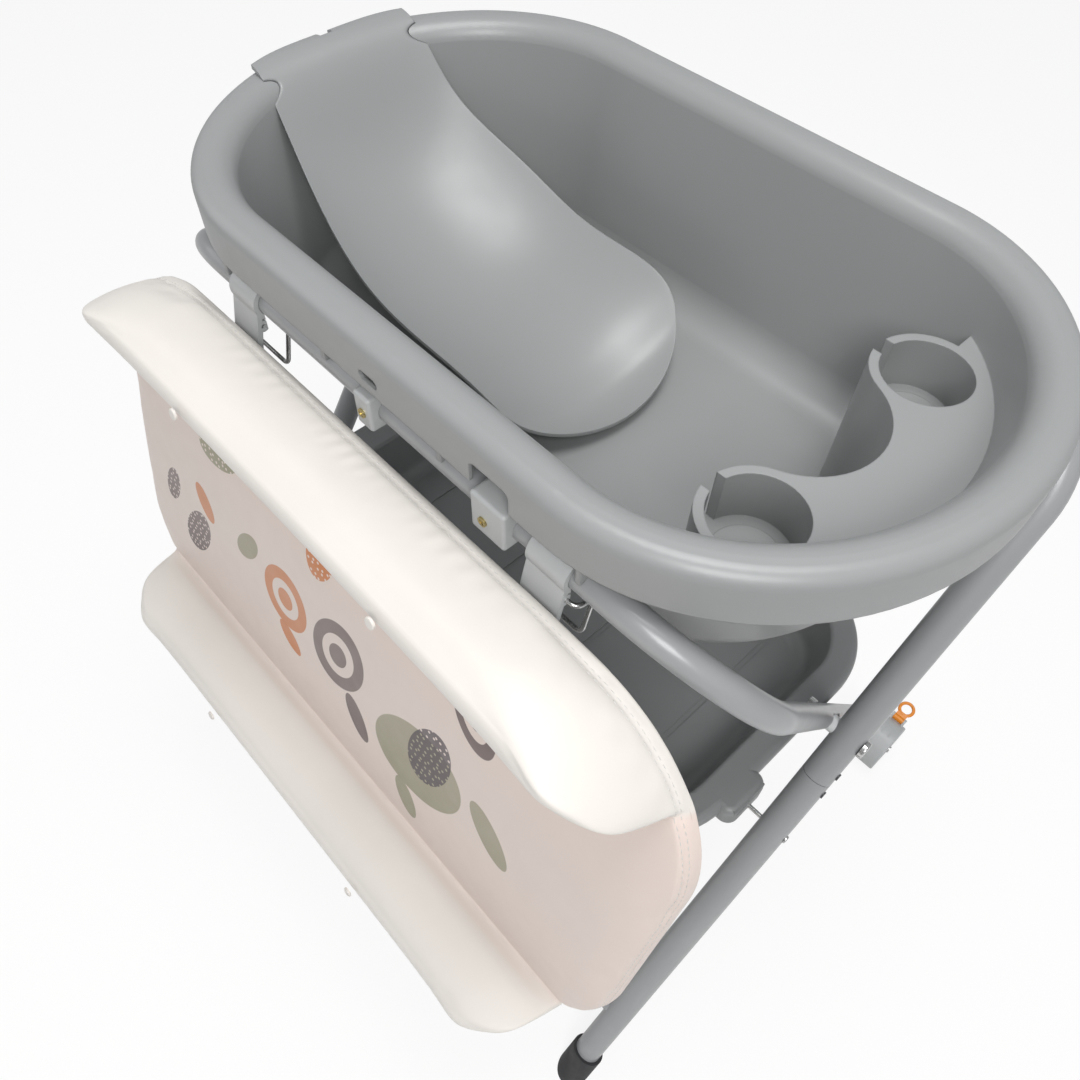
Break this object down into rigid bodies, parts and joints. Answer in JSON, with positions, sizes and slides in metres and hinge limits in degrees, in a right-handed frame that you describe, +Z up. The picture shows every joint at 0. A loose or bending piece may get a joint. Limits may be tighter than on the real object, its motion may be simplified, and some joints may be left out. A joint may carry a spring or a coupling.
{
  "type": "changing table with bathtub",
  "caption": "Folding changing table with a moulded bathtub on a crossed tube frame, a seat insert, a storage tray and a padded mat hung on one side.",
  "frame": {"origin": "middle of the bounding box's bottom face, on the floor", "axes": "+X to the tub's foot end with the organiser, -Y to the side where the mat hangs, +Z up"},
  "size_m": [0.82, 0.797, 0.8772],
  "materials": {
    "bath_plastic": "satin moulded plastic",
    "frame_paint": "satin powder coat",
    "clip_plastic": "satin",
    "spacer_plastic": "satin",
    "bright_steel": "bright zinc",
    "brass": "yellow zinc",
    "dark_rivet": "dark",
    "rubber": "matt",
    "wheel_grey": "matt",
    "brake_orange": "gloss",
    "mat_cover": "soft coated cover",
    "mat_button": "satin",
    "board_plastic": "matt"
  },
  "bodies": {
    "outer_frame": {"outer_frame_upper": "frame_paint", "outer_leg_lower_head": "frame_paint", "outer_leg_lower_foot": "frame_paint", "outer_leg_rivets": "dark_rivet", "pivot_bolts": "bright_steel", "pivot_spacers": "spacer_plastic", "pivot_nuts": "bright_steel", "lower_crossbar": "frame_paint", "rubber_foot_head": "rubber", "rubber_foot_foot": "rubber", "storage_tray": "bath_plastic", "tray_pins_near": "bright_steel"},
    "inner_frame": {"inner_frame_upper": "frame_paint", "inner_leg_lower_head": "frame_paint", "inner_leg_lower_foot": "frame_paint", "inner_leg_rivets": "dark_rivet", "rim_clip": "clip_plastic", "rim_latch": "clip_plastic", "clip_screws": "brass", "wheel_housing_head": "clip_plastic", "wheel_housing_foot": "clip_plastic", "wheel_axle_head": "bright_steel", "wheel_axle_foot": "bright_steel", "tray_pins_far": "bright_steel"},
    "tub": {"tub_basin": "bath_plastic", "hinge_clips": "clip_plastic"},
    "seat": {"seat_insert": "bath_plastic"},
    "plug": {"drain_plug": "bath_plastic"},
    "mat": {"mat_pad": "mat_cover", "mat_board": "board_plastic", "mat_tufts": "mat_button", "mat_saddle_head": "clip_plastic", "mat_saddle_foot": "clip_plastic", "saddle_screws": "bright_steel"},
    "bail_head": {"wire_bail_head": "bright_steel"},
    "bail_foot": {"wire_bail_foot": "bright_steel"},
    "wheel_head": {"wheel_head": "wheel_grey"},
    "wheel_foot": {"wheel_foot": "wheel_grey"},
    "lever_head": {"brake_lever_head": "brake_orange"},
    "lever_foot": {"brake_lever_foot": "brake_orange"}
  },
  "joints": [
    {"name": "frame_fold", "type": "hinge", "parent": "outer_frame", "child": "inner_frame", "pos_m": [0, 0.0414, 0.484], "axis": [1, 0, 0], "range_deg": [-13, 0]},
    {"name": "tub_tilt", "type": "hinge", "parent": "outer_frame", "child": "tub", "pos_m": [0, 0.26208, 0.8], "axis": [1, 0, 0], "range_deg": [-104, 0]},
    {"name": "mat_hang", "type": "hinge", "parent": "inner_frame", "child": "mat", "pos_m": [0, -0.17579, 0.795], "axis": [1, 0, 0], "range_deg": [0, 9.62]},
    {"name": "seat_lift", "type": "slide", "parent": "tub", "child": "seat", "axis": [0, 0, 1], "range_m": [0, 0.25]},
    {"name": "plug_lift", "type": "slide", "parent": "tub", "child": "plug", "axis": [0, 0, 1], "range_m": [0, 0.05]},
    {"name": "wheel_spin_head", "type": "hinge", "parent": "inner_frame", "child": "wheel_head", "pos_m": [-0.391, 0.33166, 0.034], "axis": [1, 0, 0], "continuous": true},
    {"name": "brake_head", "type": "hinge", "parent": "inner_frame", "child": "lever_head", "pos_m": [-0.391, 0.3672, 0.06177], "axis": [1, 0, 0], "range_deg": [-22, 0]},
    {"name": "bail_swing_head", "type": "hinge", "parent": "mat", "child": "bail_head", "pos_m": [-0.188, -0.18882, 0.77495], "axis": [1, 0, 0], "range_deg": [-20, 10]},
    {"name": "wheel_spin_foot", "type": "hinge", "parent": "inner_frame", "child": "wheel_foot", "pos_m": [0.391, 0.33166, 0.034], "axis": [1, 0, 0], "continuous": true},
    {"name": "brake_foot", "type": "hinge", "parent": "inner_frame", "child": "lever_foot", "pos_m": [0.391, 0.3672, 0.06177], "axis": [1, 0, 0], "range_deg": [-22, 0]},
    {"name": "bail_swing_foot", "type": "hinge", "parent": "mat", "child": "bail_foot", "pos_m": [0.188, -0.18882, 0.77495], "axis": [1, 0, 0], "range_deg": [-20, 10]}
  ],
  "couplings": [
    {"joint": "tub_tilt", "follows": "frame_fold", "ratio": 8},
    {"joint": "mat_hang", "follows": "frame_fold", "ratio": -0.74}
  ]
}
